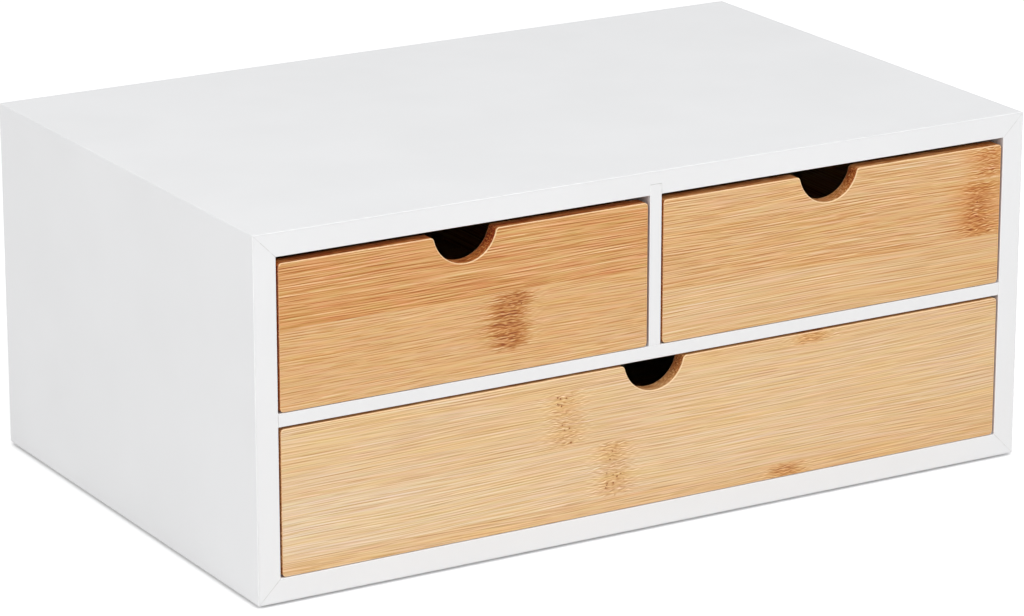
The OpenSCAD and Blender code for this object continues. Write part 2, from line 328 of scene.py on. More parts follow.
# %% [markdown]
# The floor is matt white. In this light it would come out grey, so where the camera looks at it, it
# gets some light of its own, the lift. The lift would also wash out the shadow where the cabinet
# meets the floor. An Ambient Occlusion node tells how much open sky a point has within a few
# millimetres, and where it has little, the floor loses most of its lift and its white turns a little
# grey: a painted shadow that darkens the real one along its line of contact.

# %% The floor
FLOOR_REACH = 6.0
FLOOR_SEGMENTS = 96
FLOOR_WHITE = (0.82, 0.82, 0.82, 1.0)
FLOOR_SHADE = (0.80, 0.80, 0.80, 1.0)
FLOOR_LIFT = 0.45
FLOOR_LIFT_SHADED = 0.14
SHADOW_REACH_MM = 7.0
SKY_SHUT = 0.3
SKY_OPEN = 0.87

shape = bmesh.new()
bmesh.ops.create_circle(shape, cap_ends=True, segments=FLOOR_SEGMENTS, radius=FLOOR_REACH)
floor_mesh = bpy.data.meshes.new("floor")
shape.to_mesh(floor_mesh)
shape.free()
floor = bpy.data.objects.new("floor", floor_mesh)
bpy.context.scene.collection.objects.link(floor)

sweep, tree, shader, place = new_finish("white_sweep")
shader.inputs["Roughness"].default_value = 0.9
shader.inputs["Specular IOR Level"].default_value = 0.0
open_sky = tree.nodes.new("ShaderNodeAmbientOcclusion")
open_sky.samples = 8
open_sky.inputs["Distance"].default_value = SHADOW_REACH_MM * MM
# painted shadow: where the floor sees little open sky, its colour and lift are turned down
in_the_open = rise(tree, open_sky.outputs["AO"], SKY_SHUT, SKY_OPEN)
join(tree, mixed(tree, in_the_open, FLOOR_SHADE, FLOOR_WHITE), shader.inputs["Base Color"])
lift = rise(tree, open_sky.outputs["AO"], SKY_SHUT, SKY_OPEN, FLOOR_LIFT_SHADED, FLOOR_LIFT)
shader.inputs["Emission Color"].default_value = WHITE
join(tree, maths(tree, "MULTIPLY", looked_at(tree), lift), shader.inputs["Emission Strength"])
floor_mesh.materials.append(sweep)
print(f"floor {2 * FLOOR_REACH:.0f} m across")

# %% [markdown]
# ## White lacquer
#
# The cabinet is sprayed with a satin white lacquer. Close up such a coat is never quite even: it has
# a very faint orange peel from the spray gun, a slight drift in gloss where it dried at different
# speeds, and it is a touch glossier on the rounded edges, where its white is also painted lighter in
# uneven patches, a painted highlight. A joint shows as a hairline that the lacquer fills here and
# there. A plain white shader would look like plastic film, so six clouds of different widths vary the
# white, the painted edge highlight, the joint lines, the gloss, the peel and the long wave under it.

# %% White lacquer
LACQUER_WHITE = (0.800, 0.803, 0.808, 1.0)
LACQUER_SHADE = (0.786, 0.789, 0.793, 1.0)
# painted highlight: the white that the rounded edges are painted with
LACQUER_EDGE_HIGHLIGHT = (0.870, 0.872, 0.876, 1.0)
LACQUER_JOINT = (0.60, 0.59, 0.575, 1.0)
DRIFT_MM = 70.0
GLOSS_MM = 25.0
WAVE_MM = 14.0
HIGHLIGHT_PATCH_MM = 9.0
FILLED_MM = 2.2
PEEL_MM = 1.6
WAVE_SHARE = 2.0
GLOSS_DRIFT = 0.05
EDGE_SHINE = 0.08


def lacquer(name, white=LACQUER_WHITE, shade=LACQUER_SHADE, dullness=0.42, peel_depth=0.006):
    """Sprayed satin lacquer."""
    finish, tree, shader, place = new_finish(name)
    drift = blots(tree, place, DRIFT_MM)
    colour = mixed(tree, rise(tree, drift, 0.35, 0.65), white, shade)
    # painted highlight: the rounded edges get a lighter white, in uneven patches
    highlight_patches = blots(tree, place, HIGHLIGHT_PATCH_MM, detail=3.0)
    highlit_edge = maths(tree, "MULTIPLY", on_arris(tree), rise(tree, highlight_patches, 0.3, 0.55, 0.55, 1.0))
    colour = mixed(tree, highlit_edge, colour, LACQUER_EDGE_HIGHLIGHT)
    filled = blots(tree, place, FILLED_MM, detail=1.0)
    open_line = maths(tree, "MULTIPLY", on_arris(tree, -1.0), rise(tree, filled, 0.38, 0.55, 0.35, 1.0))
    colour = mixed(tree, open_line, colour, LACQUER_JOINT)
    join(tree, colour, shader.inputs["Base Color"])
    dried = blots(tree, place, GLOSS_MM, detail=3.0)
    roughness = rise(tree, dried, 0.3, 0.7, dullness - GLOSS_DRIFT, dullness + GLOSS_DRIFT)
    roughness = maths(tree, "SUBTRACT", roughness, maths(tree, "MULTIPLY", highlit_edge, EDGE_SHINE))
    join(tree, roughness, shader.inputs["Roughness"])
    orange_peel = blots(tree, place, PEEL_MM, detail=1.0)
    long_wave = blots(tree, place, WAVE_MM, detail=1.0)
    height = maths(tree, "ADD", orange_peel, maths(tree, "MULTIPLY", long_wave, WAVE_SHARE))
    relief(tree, shader, height, peel_depth)
    return finish


# %% The two lacquers
BACK_WHITE = (0.745, 0.745, 0.738, 1.0)
BACK_SHADE = (0.715, 0.715, 0.706, 1.0)

white_lacquer = lacquer("white_lacquer")
white_back_board = lacquer(
    "white_back_board", white=BACK_WHITE, shade=BACK_SHADE, dullness=0.6, peel_depth=0.02,
)
print("lacquers:", white_lacquer.name, "and", white_back_board.name)

# %% [markdown]
# ## Bamboo
#
# A bamboo board is glued up from split canes, planed to strips about 22 mm wide. Dry bamboo is a pale
# straw colour. Riper canes, and single dark fibres, look as if a brown stain lay over it: it takes a
# little of the red light, more of the green and most of the blue. So the finish doesn't mix a list of
# browns. It starts from one straw colour and lays stains over it: one for a whole strip that is riper,
# one for fibres and knuckles, which is greyer on the pale board, and two weak ones that turn the hue
# to amber and to pink. A stain is a colour raised to a power: at 0 it is clear, at 1 it is as deep as
# written, and below 0 it bleaches. Only the pores and the rims are plain colours: the rims are sanded
# pale and painted lighter still, a painted highlight.

# %% Straw and stains
STRAW = paint(224, 193, 151)
RIPE_STAIN = (0.835, 0.57, 0.33, 1.0)
FIBRE_STAIN = (0.742, 0.556, 0.368, 1.0)
PALE_FIBRE_STAIN = (0.72, 0.57, 0.43, 1.0)
AMBER_STAIN = (1.05, 1.01, 0.80, 1.0)
PINK_STAIN = (1.05, 0.955, 1.06, 1.0)
PORE_BROWN = paint(122, 46, 6)
# sanded pallor together with a painted highlight on the rims
RIM_PALE_AND_HIGHLIGHT = paint(252, 218, 172)


def stained(tree, colour, stain, coats):
    """A colour under so many coats of stain."""
    node = tree.nodes.new("ShaderNodeGamma")
    join(tree, stain, node.inputs["Color"])
    join(tree, coats, node.inputs["Gamma"])
    return mixed(tree, 1.0, colour, node.outputs["Color"], method="MULTIPLY")


print("a whole coat of fibre stain leaves", FIBRE_STAIN[:3], "of the light")

# %% [markdown]
# ### Strips
#
# The pattern is worked out in the solid, not on the surface. The finish gets three lengths at every
# point: along the fibres, across the strips and through the board. Clouds that are long one way and
# thin the other two ways become lines on a face and dots on the end of a board, as on real bamboo.
# A strip is known by its row, counted up from one glue joint, and each row can be given its own
# values. The sides, rears and bottoms have no such list and get theirs by chance.

# %% Rows of strips
STRIP_MM = 22.5
GLUE_LINE_MM = 0.14


def row_of(tree, across, first_joint):
    """The number of the strip that a point lies in. Row 0 starts at the first joint."""
    steps = maths(tree, "DIVIDE", maths(tree, "SUBTRACT", across, first_joint), STRIP_MM)
    return maths(tree, "FLOOR", steps)


def glue_line(tree, across, first_joint):
    """1 on the hairline where two strips are glued and 0 away from it."""
    from_joint = maths(tree, "SUBTRACT", across, first_joint)
    nearest = maths(tree, "PINGPONG", from_joint, STRIP_MM / 2)
    return rise(tree, nearest, GLUE_LINE_MM, 0.0)


front_low, front_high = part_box("wide_drawer_front")
print(f"the wide front is {(front_high.z - front_low.z) / MM / STRIP_MM:.1f} strips high")

# %% What one strip is like
PER_100_MM = 0.01
RIPE_LUCK = 0.18
UNLISTED = {"ribbons": 0.6, "amber": 1.2, "pink": 0.9, "run": 1.5}


def strip(ripe, lively=1.0, ribbons=1.0, amber=1.0, pink=1.0, run=1.0, ripens=0.0):
    """One strip of a front: its coats of ripe stain, the strength of its fibres, of its ribbons and of
    its turns to amber and pink, how far its fibres run, and how many coats it ripens in 100 mm."""
    return {"ripe": ripe, "lively": lively, "ribbons": ribbons, "amber": amber, "pink": pink,
            "run": run, "ripens": ripens}


def by_strip(tree, row, strips, what):
    """The value that the strip of this row has. The first strip of the list is row -1."""
    total = 0.0
    for number, one in enumerate(strips, start=-1):
        chosen = maths(tree, "COMPARE", row, number, 0.5)
        total = maths(tree, "ADD", total, maths(tree, "MULTIPLY", chosen, one[what]))
    return total


def strip_values(tree, row, along, luck, strips, ripe):
    """The values of the strip that a point lies in, from the list or else by chance."""
    if not strips:
        ripeness = rise(tree, luck, 0.0, 1.0, ripe - RIPE_LUCK, ripe + RIPE_LUCK)
        return {"ripe": ripeness, "lively": rise(tree, luck, 0.2, 0.9, 0.8, 1.3), **UNLISTED}
    values = {what: by_strip(tree, row, strips, what) for what in strips[0]}
    ripens = maths(tree, "MULTIPLY", values["ripens"], PER_100_MM)
    values["ripe"] = maths(tree, "ADD", values["ripe"], maths(tree, "MULTIPLY", ripens, along))
    return values


print("a strip is told apart by:", ", ".join(strip(ripe=0.5)))

# %% [markdown]
# ### Fibres
#
# The grain has six layers. Patches and bands are broad and change how ripe the strip looks. Ribbons,
# fibres, hairs and bundles are narrow and lie in the fibre stain. Ribbons are the long soft streaks of
# a cane, and hairs the fine lines between them. Bundles are the dark dashes where a bundle of fibres
# is cut: only the highest values of their cloud are kept, so they are few and sharp. Each layer has a
# grain, its length, width and depth in millimetres, and a swing, in coats of stain. Light flanks are
# held back a little, since fibres go darker than the wood round them more than they go lighter. The
# hue turns to amber where a ribbon is dark, and also drifts by itself, to amber and to pink, as no two
# fibres dry to the same colour.

# %% Fibres
PATCH_GRAIN, PATCH_SWING = (140.0, 11.0, 11.0), 0.08
BAND_GRAIN, BAND_SWING = (80.0, 4.2, 4.2), 0.04
RIBBON_GRAIN, RIBBON_SWING = (40.0, 0.8, 0.8), 0.1
FIBRE_GRAIN, FIBRE_SWING = (24.0, 0.6, 0.6), 0.08
HAIR_GRAIN, HAIR_STAIN = (22.0, 0.5, 0.5), 1.7
BUNDLE_GRAIN, BUNDLE_STAIN = (16.0, 0.46, 0.5), 0.9
BUNDLE_SHIFT = (311.0, 47.0, 13.0)
HAIR_MM = 0.38
PALE_FLANK = 0.65
FIBRE_REST = 0.06


def held_back(tree, value):
    """A swing whose light side, below 0, is held back. The fibre stain is darker above 0."""
    return maths(tree, "MAXIMUM", value, maths(tree, "MULTIPLY", value, PALE_FLANK))


def grain_of_strip(tree, place, lively, ribbons):
    """What the grain adds to the ripeness and to the fibre stain, and its fibres and ribbons alone."""
    patch = cloud(tree, place, PATCH_GRAIN, detail=1.0)
    band = cloud(tree, place, BAND_GRAIN, detail=1.0)
    broad = maths(tree, "ADD", swing(tree, patch, PATCH_SWING), swing(tree, band, BAND_SWING))
    fibre = cloud(tree, place, FIBRE_GRAIN, detail=0.0)
    hair = held_back(tree, flanks(tree, place, HAIR_GRAIN, HAIR_MM))
    narrow = swing(tree, fibre, FIBRE_SWING)
    narrow = maths(tree, "ADD", narrow, maths(tree, "MULTIPLY", hair, HAIR_STAIN))
    bundle = flanks(tree, vector_sum(tree, "ADD", place, BUNDLE_SHIFT), BUNDLE_GRAIN, HAIR_MM)
    narrow = maths(tree, "ADD", narrow, rise(tree, bundle, 0.16, 0.32, 0.0, BUNDLE_STAIN))
    ribbon = cloud(tree, place, RIBBON_GRAIN, detail=0.0)
    streak = held_back(tree, swing(tree, ribbon, RIBBON_SWING))
    narrow = maths(tree, "ADD", narrow, maths(tree, "MULTIPLY", streak, ribbons))
    narrow = maths(tree, "SUBTRACT", narrow, FIBRE_REST)
    return maths(tree, "MULTIPLY", broad, lively), maths(tree, "MULTIPLY", narrow, lively), fibre, ribbon


print(f"hairs {HAIR_GRAIN[1]} mm wide and about {HAIR_GRAIN[0]:.0f} mm long")

# %% Hue of the fibres
HUE_SHIFT = (97.0, 5.0, 71.0)
SLOW_GRAIN, SLOW_SWING = (30.0, 5.0, 5.0), 0.42
QUICK_GRAIN, QUICK_SWING = (14.0, 1.3, 1.3), 0.2
AMBER_IN_RIBBONS = 0.35
BLUSH_GRAIN, BLUSH_SWING = (11.0, 1.1, 1.1), 0.6


def hue_of_strip(tree, place, ribbon, amber_reach, pink_reach):
    """How far the hue is turned to amber and to pink, both about 0. Dark ribbons are the amber ones."""
    other = vector_sum(tree, "ADD", place, HUE_SHIFT)
    slow = cloud(tree, other, SLOW_GRAIN, detail=2.0)
    quick = cloud(tree, other, QUICK_GRAIN, detail=1.0)
    blush = cloud(tree, place, BLUSH_GRAIN, detail=1.0)
    amber = maths(tree, "ADD", swing(tree, slow, SLOW_SWING), swing(tree, quick, QUICK_SWING))
    amber = maths(tree, "ADD", amber, swing(tree, ribbon, AMBER_IN_RIBBONS))
    pink = swing(tree, blush, BLUSH_SWING)
    return maths(tree, "MULTIPLY", amber, amber_reach), maths(tree, "MULTIPLY", pink, pink_reach)


print(f"the hue drifts over {QUICK_GRAIN[0]:.0f} to {SLOW_GRAIN[0]:.0f} mm of a fibre")

# %% [markdown]
# ### Knuckles
#
# Every foot or so a cane has a knuckle, where a leaf grew. There the fibres turn wild and short, the
# colour goes brown, and small pores show, but only across that one strip. The brown runs out along
# single fibres, like a feather, often further on one side. An image could be laid on the board, but
# it would end at the edge, while a knuckle goes on through the wood. So a knuckle is described by a
# few sizes and worked out in the solid, like the strips.

# %% A knuckle's sizes
BULGE_GRAIN = (40.0, 7.0, 40.0)
MOTTLE_GRAIN = (3.4, 2.2, 2.2)
STROKE_GRAIN, STROKE_MM = (3.0, 0.55, 0.7), 0.45
FEATHER_GRAIN, FEATHER_MM = (26.0, 0.8, 0.9), 0.5


def knuckle(at, low, high, half=5.0, core=1.0, feather=1.0, reach=(10.0, 3.0), haze=0.2, haze_reach=11.0,
            curl=0.45, pores=0.2):
    """A knuckle at so many mm along a strip that lies between low and high. Half is half its width,
    reach is how far its feathers go to the left and to the right, and haze_reach how far its haze
    goes. The core, the feathers and the ripe haze are in coats of stain. Curl is how much it bends
    the fibres, and pores is the share of cells that hold a pore."""
    return {"at": at, "low": low, "high": high, "half": half, "core": core, "feather": feather,
            "reach": reach, "haze": haze, "haze_reach": haze_reach, "curl": curl, "pores": pores}


def knuckle_clouds(tree, spots):
    """The clouds that all the knuckles of one board share."""
    place = place_of(tree, *spots)
    feather = flanks(tree, place, FEATHER_GRAIN, FEATHER_MM)
    return {
        "bulge": cloud(tree, place, BULGE_GRAIN, detail=1.0),
        "mottle": cloud(tree, place, MOTTLE_GRAIN, detail=2.0),
        "stroke": flanks(tree, place, STROKE_GRAIN, STROKE_MM),
        "feather": maths(tree, "ADD", feather, 0.5),
    }


print("a knuckle is told by:", ", ".join(knuckle(at=0.0, low=0.0, high=STRIP_MM)))

# %% Core and feathers
BELL_WIDTHS = 3.0


def core_stain(tree, clouds, distance, half):
    """A bell of brown with short dark strokes in it."""
    bell = maths(tree, "POWER", rise(tree, distance, half * BELL_WIDTHS, 0.0), 1.6)
    body = rise(tree, clouds["mottle"], 0.25, 0.75, 0.35, 0.65)
    strokes = rise(tree, clouds["stroke"], -0.02, 0.24, 0.0, 1.9)
    strokes = maths(tree, "MULTIPLY", strokes, rise(tree, clouds["mottle"], 0.3, 0.65, 0.75, 1.15))
    return maths(tree, "MULTIPLY", bell, maths(tree, "ADD", body, strokes))


def feather_stain(tree, clouds, offset, one):
    """Feathers that start in the core and end each at its own length."""
    half = one["half"]
    length = rise(tree, clouds["feather"], 0.45, 0.62, 0.1, 1.0)
    depth = rise(tree, clouds["feather"], 0.46, 0.6, 0.0, one["feather"])
    stain = 0.0
    for side, reach in zip((-1.0, 1.0), one["reach"]):
        outwards = maths(tree, "MULTIPLY", offset, side)
        end = maths(tree, "ADD", maths(tree, "MULTIPLY", length, reach), half)
        quill = rise(tree, outwards, end, half * 0.5)
        quill = maths(tree, "MULTIPLY", quill, rise(tree, outwards, 0.0, half * 0.8))
        stain = maths(tree, "ADD", stain, maths(tree, "MULTIPLY", quill, depth))
    return stain


print(f"the brown of a core ends {BELL_WIDTHS} half widths from its middle")

# %% Where a knuckle is
BULGE_MM = 2.2
FRAY_MM = 1.2
RAGGED_MM = 0.6
FADE_OUT_MM = 0.2
FADE_IN_MM = 1.8
SHORT_WIDTHS = 4.5


def knuckle_fields(tree, spots, clouds, one):
    """What one knuckle adds at a point: its two stains, its pores, and its curled and short fibres."""
    along, across, through = spots
    half = one["half"]
    offset = maths(tree, "SUBTRACT", along, one["at"])
    offset = maths(tree, "ADD", offset, swing(tree, clouds["bulge"], BULGE_MM))
    offset = maths(tree, "ADD", offset, swing(tree, clouds["feather"], FRAY_MM))
    distance = maths(tree, "ABSOLUTE", offset)
    height = maths(tree, "ADD", across, swing(tree, clouds["mottle"], RAGGED_MM))
    above = rise(tree, height, one["low"] - FADE_OUT_MM, one["low"] + FADE_IN_MM)
    below = rise(tree, height, one["high"] + FADE_OUT_MM, one["high"] - FADE_IN_MM)
    in_strip = maths(tree, "MULTIPLY", above, below)

    def near(far_mm, full_mm, strength=1.0):
        """The strength within the strip, from nothing far away to all of it close by."""
        share = maths(tree, "MULTIPLY", rise(tree, distance, far_mm, full_mm), in_strip)
        return maths(tree, "MULTIPLY", share, strength)

    stain = maths(tree, "MULTIPLY", core_stain(tree, clouds, distance, half), one["core"])
    stain = maths(tree, "ADD", stain, feather_stain(tree, clouds, offset, one))
    return {
        "stain": maths(tree, "MULTIPLY", stain, in_strip),
        "haze": near(one["haze_reach"], half * 0.5, one["haze"]),
        "curl": near(half * BELL_WIDTHS, half * 0.5, one["curl"]),
        "short": near(half * SHORT_WIDTHS, half),
        "pores": near(half * 1.2, half * 0.6, one["pores"]),
    }


def knuckles_of_board(tree, spots, knuckles):
    """The fields of all the knuckles of one board, added up."""
    total = {"stain": 0.0, "haze": 0.0, "curl": 0.0, "short": 0.0, "pores": 0.0}
    clouds = knuckle_clouds(tree, spots) if knuckles else None
    for one in knuckles:
        fields = knuckle_fields(tree, spots, clouds, one)
        total = {what: maths(tree, "ADD", total[what], fields[what]) for what in total}
    return total


print(f"the short fibres end {SHORT_WIDTHS} half widths from the middle")

# %% Pores
PORE_CELL_MM = 1.9
PORE_DEPTH = 0.9
PORE_RING_STAIN = 0.3


def pores_over(tree, colour, spots, share):
    """Small round pores over a colour. The share says how many of their cells hold one."""
    along, across, through = spots
    cells = tree.nodes.new("ShaderNodeTexVoronoi")
    place = place_of(tree, along, across, 0.0)
    cell_size = (PORE_CELL_MM, PORE_CELL_MM, PORE_CELL_MM)
    join(tree, vector_sum(tree, "DIVIDE", place, cell_size), cells.inputs["Vector"])
    cells.inputs["Scale"].default_value = 1.0
    kept = maths(tree, "LESS_THAN", parts_of(tree, cells.outputs["Color"])[0], share)
    ring = rise(tree, cells.outputs["Distance"], 0.6, 0.2, 0.0, PORE_RING_STAIN)
    colour = stained(tree, colour, FIBRE_STAIN, maths(tree, "MULTIPLY", ring, kept))
    dot = rise(tree, cells.outputs["Distance"], 0.23, 0.1, 0.0, PORE_DEPTH)
    return mixed(tree, maths(tree, "MULTIPLY", dot, kept), colour, PORE_BROWN)


print(f"one pore at most in each cell of about {PORE_CELL_MM} mm")

# %% [markdown]
# ### Bends, breaks and cut edges
#
# Fibres never run quite straight: they wander along the board and curl round a knuckle. Close to a
# knuckle the long fibres give way to short ones. Wherever the board is cut square or has been shaped,
# the wood is browner and shows the ends of its bundles, partly because a cut drinks more oil than a
# planed face and partly as a painted shade: the cuts of a front lie in the dark gaps round a shut
# drawer, and their brown is deepened for that shade. A cut that looks up gets a little less of it. The
# face's own direction tells a cut from a planed face, so the finish needs no second material. The
# eased edges are sanded last: the paper takes the oil off again and leaves them pale, unevenly, as a
# hand does, and they are painted lighter still, a painted highlight. The oil itself is clear and
# satin, and only the gloss shows it.

# %% Bends and breaks
AXES = {"x": 0, "y": 1, "z": 2}
WANDER_GRAIN, WANDER_MM = (120.0, 40.0, 1.0), 0.9
RIPPLE_GRAIN, RIPPLE_MM = (3.4, 2.0, 2.0), 1.0
SHORT_GRAIN = (2.7, 0.5, 0.6)
SHORT_STAIN = 3.2
SHORT_SHARE = 0.85


def wandered(tree, spots, row):
    """How far across a point lies, once its fibre's wander along the board is taken out."""
    along, across, through = spots
    wander = cloud(tree, place_of(tree, along, across, row), WANDER_GRAIN, detail=1.0)
    return maths(tree, "ADD", across, swing(tree, wander, WANDER_MM))


def curled(tree, spots, bent, curl):
    """The same with the curl round a knuckle."""
    ripple = cloud(tree, place_of(tree, *spots), RIPPLE_GRAIN, detail=1.0)
    return maths(tree, "ADD", bent, maths(tree, "MULTIPLY", swing(tree, ripple, RIPPLE_MM), curl))


def shortened(tree, place, narrow, lively, near):
    """The narrow grain, giving way to short fibres near a knuckle."""
    short = flanks(tree, place, SHORT_GRAIN, HAIR_MM)
    short = maths(tree, "MULTIPLY", maths(tree, "MULTIPLY", short, SHORT_STAIN), lively)
    share = maths(tree, "MULTIPLY", near, SHORT_SHARE, clamp=True)
    change = maths(tree, "MULTIPLY", maths(tree, "SUBTRACT", short, narrow), share)
    return maths(tree, "ADD", narrow, change)


print(f"long fibres are {FIBRE_GRAIN[0] / SHORT_GRAIN[0]:.0f} times as long as those at a knuckle")

# %% Cut and sanded edges
# cut ends are browned more than cut edges, partly oil and partly painted shade of the side gaps
END_EXTRA_WITH_SHADE = 1.3
LESS_ON_TOP = 0.35
RIM_PATCH_MM = 2.5


def cut_wood_and_gap_shade(tree, axes, edge, sanded):
    """How much a point lies on a cut, whose brown is partly painted shade: 0 on planed faces and sanded
    edges, up to the edge's strength.
    """
    coordinates = tree.nodes.new("ShaderNodeTexCoord")
    normal = parts_of(tree, coordinates.outputs["Normal"])
    facing = maths(tree, "ABSOLUTE", normal[AXES[axes[2]]])
    end = maths(tree, "ABSOLUTE", normal[AXES[axes[0]]])
    cut = rise(tree, facing, 0.75, 0.35, 0.0, edge)
    cut = maths(tree, "MAXIMUM", cut, rise(tree, end, 0.3, 0.9, 0.0, edge * END_EXTRA_WITH_SHADE))
    # a cut that faces up gets less of the brown
    upward_share = maths(tree, "MULTIPLY", rise(tree, normal[2], 0.3, 1.0), LESS_ON_TOP)
    cut = maths(tree, "MULTIPLY", cut, maths(tree, "SUBTRACT", 1.0, upward_share))
    return maths(tree, "MULTIPLY", cut, maths(tree, "SUBTRACT", 1.0, sanded))


def pale_and_highlit_rims(tree, place, colour, sanded, rim):
    """The colour with its sanded edges rubbed pale and painted lighter, a painted highlight, by about
    the rim's share.
    """
    rim_patches = blots(tree, place, RIM_PATCH_MM)
    share = maths(tree, "MULTIPLY", sanded, rise(tree, rim_patches, 0.3, 0.6, 0.8 * rim, 1.1 * rim))
    return mixed(tree, share, colour, RIM_PALE_AND_HIGHLIGHT)


print(f"cut ends drink {END_EXTRA_WITH_SHADE} times as much as cut edges")

# %% Satin oil
OIL_DULLNESS = 0.5
OIL_SPECULAR = 0.35
FIBRE_DULLNESS = 0.06
RUBBED_SHINE = 0.12
CUT_DULLNESS = 0.2
FIBRE_DEPTH_MM = 0.025
STAIN_SINKS = 0.3


def satin_oil(tree, shader, fibre, stain, sanded, cut):
    """A clear oil, a little duller in the fibres and on cuts and glossier where fingers rub."""
    dullness = maths(tree, "ADD", OIL_DULLNESS, swing(tree, fibre, FIBRE_DULLNESS))
    dullness = maths(tree, "SUBTRACT", dullness, maths(tree, "MULTIPLY", sanded, RUBBED_SHINE))
    dullness = maths(tree, "ADD", dullness, maths(tree, "MULTIPLY", cut, CUT_DULLNESS), clamp=True)
    join(tree, dullness, shader.inputs["Roughness"])
    shader.inputs["Specular IOR Level"].default_value = OIL_SPECULAR
    sunk = maths(tree, "MULTIPLY", stain, STAIN_SINKS)
    relief(tree, shader, maths(tree, "SUBTRACT", fibre, sunk), FIBRE_DEPTH_MM)


print(f"the oil is {OIL_DULLNESS} rough, and {OIL_DULLNESS - RUBBED_SHINE} where it is rubbed")

# %% [markdown]
# ### The whole finish
#
# The last function puts it together: what the strip is like and where its knuckles are, its grain,
# how many coats of each stain all that makes, then the coats one over the other, and a satin oil.

# %% Bamboo finish
LUCK_MM = 900.0
# the ripeness, brown and pink of cuts are partly painted shade for the gaps round a shut drawer
CUT_RIPENESS_AND_SHADE = 0.8
CUT_STAIN_AND_SHADE = 0.65
CUT_BLUSH_AND_SHADE = 0.5
GLUE_STAIN = 0.25
BUNDLE_END_GRAIN, BUNDLE_END_SWING = (5.0, 0.55, 0.6), 1.0


def bamboo(name, axes=("x", "z", "y"), first_joint=0.0, seed=1.0, ripe=0.4, strips=(), knuckles=(),
           edge=0.8, rim=0.3, fibre_stain=FIBRE_STAIN):
    """Laminated bamboo with a clear satin oil. The axes are along, across and through the board."""
    finish, tree, shader, place = new_finish(name)
    xyz = parts_of(tree, place)
    spots = tuple(xyz[AXES[axis]] for axis in axes)
    along, across, through = spots
    row = row_of(tree, across, first_joint)
    luck = chance(tree, maths(tree, "ADD", row, seed))
    like = strip_values(tree, row, along, luck, strips, ripe)
    knots = knuckles_of_board(tree, spots, knuckles)

    # the grain, read at a place of its own in each strip
    bent = wandered(tree, spots, row)
    if knuckles:
        bent = curled(tree, spots, bent, knots["curl"])
    own_along = maths(tree, "DIVIDE", along, like["run"])
    own_along = maths(tree, "ADD", own_along, maths(tree, "MULTIPLY", luck, LUCK_MM))
    grain_place = place_of(tree, own_along, bent, through)
    broad, narrow, fibre, ribbon = grain_of_strip(tree, grain_place, like["lively"], like["ribbons"])
    if knuckles:
        short_place = place_of(tree, along, bent, through)
        narrow = shortened(tree, short_place, narrow, like["lively"], knots["short"])

    # how many coats of each stain
    sanded = on_arris(tree)
    # cut: how much a point lies on a cut, whose brown is partly painted shade
    cut = cut_wood_and_gap_shade(tree, axes, edge, sanded)
    ripeness = maths(tree, "ADD", like["ripe"], broad)
    ripeness = maths(tree, "ADD", ripeness, knots["haze"])
    ripeness = maths(tree, "ADD", ripeness, maths(tree, "MULTIPLY", cut, CUT_RIPENESS_AND_SHADE))
    stain = maths(tree, "ADD", narrow, knots["stain"])
    glued = maths(tree, "MULTIPLY", glue_line(tree, across, first_joint), GLUE_STAIN)
    stain = maths(tree, "ADD", stain, glued)
    stain = maths(tree, "ADD", stain, maths(tree, "MULTIPLY", cut, CUT_STAIN_AND_SHADE))
    bundle_ends = swing(tree, cloud(tree, grain_place, BUNDLE_END_GRAIN, detail=0.0), BUNDLE_END_SWING)
    stain = maths(tree, "ADD", stain, maths(tree, "MULTIPLY", cut, bundle_ends))
    amber, pink = hue_of_strip(tree, grain_place, ribbon, like["amber"], like["pink"])
    pink = maths(tree, "ADD", pink, maths(tree, "MULTIPLY", cut, CUT_BLUSH_AND_SHADE))

    # the coats themselves
    colour = STRAW
    for one_stain, coats in (
        (RIPE_STAIN, ripeness), (fibre_stain, stain), (AMBER_STAIN, amber), (PINK_STAIN, pink),
    ):
        colour = stained(tree, colour, one_stain, coats)
    if knuckles:
        colour = pores_over(tree, colour, spots, knots["pores"])
    # the eased rims are sanded pale and also painted lighter, a painted highlight
    join(tree, pale_and_highlit_rims(tree, place, colour, sanded, rim), shader.inputs["Base Color"])
    satin_oil(tree, shader, fibre, stain, sanded, cut)
    return finish


# %% [markdown]
# ### Three boards
#
# The three drawers were cut from different boards. The left one is ripe and streaky at the top, the
# right one honey coloured, and the wide one pale. Each front shows three or four strips. They are
# listed from the lowest one up, and the joint given first is the one over the lowest strip, in
# millimetres over the ground. A knuckle stands between two joints, or, where the edge of the front
# cuts its strip off, between a joint and a height a little past that edge. Its place along the strip
# is counted in millimetres to the right of the middle of the cabinet.

# %% Strips and knuckles of the left front
LEFT_JOINT = 79.6
LEFT_STRIPS = [
    strip(0.46, 0.9, 0.6, 0.75, 1.0, 0.8), strip(0.56, 0.85, 0.6, 0.75, 1.0, 0.8),
    strip(0.88, 1.42, 2.6, 0.35, 1.7, 1.0, -0.055), strip(0.87, 1.35, 2.2, 0.35, 1.6, 1.0, -0.055),
]
LEFT_KNUCKLES = [
    knuckle(-61.2, LEFT_JOINT, LEFT_JOINT + STRIP_MM, half=4.2, core=1.15, feather=1.1,
            reach=(14.0, 8.0), haze=0.2, pores=0.1),
]
print("left front:", len(LEFT_STRIPS), "strips and", len(LEFT_KNUCKLES), "knuckle")

